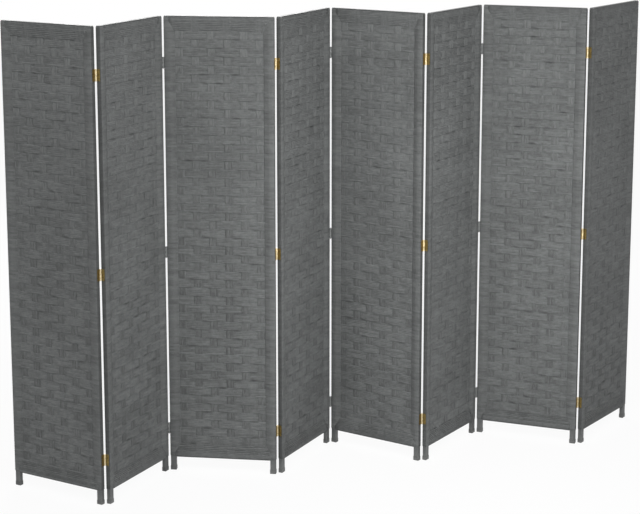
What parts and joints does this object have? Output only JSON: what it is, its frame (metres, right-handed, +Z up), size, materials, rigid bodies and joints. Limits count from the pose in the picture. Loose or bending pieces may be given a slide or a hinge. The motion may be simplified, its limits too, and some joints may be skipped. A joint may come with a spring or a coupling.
{
  "type": "folding screen",
  "caption": "Free-standing folding screen of woven paper-cord panels on wooden frames, hinged edge to edge so that they stand in a zigzag, fold flat and open into a wall.",
  "frame": {"origin": "on the floor, under the middle of the standing screen's bounding box", "axes": "+Z up; +X along the line from the screen's left edge to its right edge, seen from the front; +Y from the front to the back"},
  "size_m": [2.4886, 0.4064, 1.7],
  "materials": {
    "frame_paint": "satin",
    "weave_fibre": "matte",
    "band_fibre": "matte",
    "foot_rubber": "matte",
    "hinge_brass": "satin",
    "hinge_painted": "satin"
  },
  "bodies": {
    "panel_1": {"panel_1_stiles": "frame_paint", "panel_1_rails": "frame_paint", "panel_1_warp_bands": "band_fibre", "panel_1_weave": "weave_fibre", "panel_1_feet": "foot_rubber", "hinge_1_left_leaves": "hinge_brass"},
    "panel_2": {"panel_2_stiles": "frame_paint", "panel_2_rails": "frame_paint", "panel_2_warp_bands": "band_fibre", "panel_2_weave": "weave_fibre", "panel_2_feet": "foot_rubber", "hinge_1_right_leaves": "hinge_brass", "hinge_2_left_leaves": "hinge_painted"},
    "panel_3": {"panel_3_stiles": "frame_paint", "panel_3_rails": "frame_paint", "panel_3_warp_bands": "band_fibre", "panel_3_weave": "weave_fibre", "panel_3_feet": "foot_rubber", "hinge_2_right_leaves": "hinge_painted", "hinge_3_left_leaves": "hinge_brass"},
    "panel_4": {"panel_4_stiles": "frame_paint", "panel_4_rails": "frame_paint", "panel_4_warp_bands": "band_fibre", "panel_4_weave": "weave_fibre", "panel_4_feet": "foot_rubber", "hinge_3_right_leaves": "hinge_brass", "hinge_4_left_leaves": "hinge_painted"},
    "panel_5": {"panel_5_stiles": "frame_paint", "panel_5_rails": "frame_paint", "panel_5_warp_bands": "band_fibre", "panel_5_weave": "weave_fibre", "panel_5_feet": "foot_rubber", "hinge_4_right_leaves": "hinge_painted", "hinge_5_left_leaves": "hinge_brass"},
    "panel_6": {"panel_6_stiles": "frame_paint", "panel_6_rails": "frame_paint", "panel_6_warp_bands": "band_fibre", "panel_6_weave": "weave_fibre", "panel_6_feet": "foot_rubber", "hinge_5_right_leaves": "hinge_brass", "hinge_6_left_leaves": "hinge_painted"},
    "panel_7": {"panel_7_stiles": "frame_paint", "panel_7_rails": "frame_paint", "panel_7_warp_bands": "band_fibre", "panel_7_weave": "weave_fibre", "panel_7_feet": "foot_rubber", "hinge_6_right_leaves": "hinge_painted", "hinge_7_left_leaves": "hinge_brass"},
    "panel_8": {"panel_8_stiles": "frame_paint", "panel_8_rails": "frame_paint", "panel_8_warp_bands": "band_fibre", "panel_8_weave": "weave_fibre", "panel_8_feet": "foot_rubber", "hinge_7_right_leaves": "hinge_brass"}
  },
  "joints": [
    {"name": "fold_1", "type": "hinge", "parent": "panel_1", "child": "panel_2", "pos_m": [-0.97191, -0.19257, 0], "axis": [0, 0, -1], "range_deg": [-85, 95]},
    {"name": "fold_2", "type": "hinge", "parent": "panel_2", "child": "panel_3", "pos_m": [-0.67137, 0.07993, 0], "axis": [0, 0, 1], "range_deg": [-109, 71]},
    {"name": "fold_3", "type": "hinge", "parent": "panel_3", "child": "panel_4", "pos_m": [-0.29851, -0.07993, 0], "axis": [0, 0, -1], "range_deg": [-109, 71]},
    {"name": "fold_4", "type": "hinge", "parent": "panel_4", "child": "panel_5", "pos_m": [0.00203, 0.19257, 0], "axis": [0, 0, 1], "range_deg": [-82, 98]},
    {"name": "fold_5", "type": "hinge", "parent": "panel_5", "child": "panel_6", "pos_m": [0.26168, -0.11914, 0], "axis": [0, 0, -1], "range_deg": [-88, 92]},
    {"name": "fold_6", "type": "hinge", "parent": "panel_6", "child": "panel_7", "pos_m": [0.58905, 0.12045, 0], "axis": [0, 0, 1], "range_deg": [-101, 79]},
    {"name": "fold_7", "type": "hinge", "parent": "panel_7", "child": "panel_8", "pos_m": [0.91217, -0.12486, 0], "axis": [0, 0, -1], "range_deg": [-103, 77]}
  ]
}
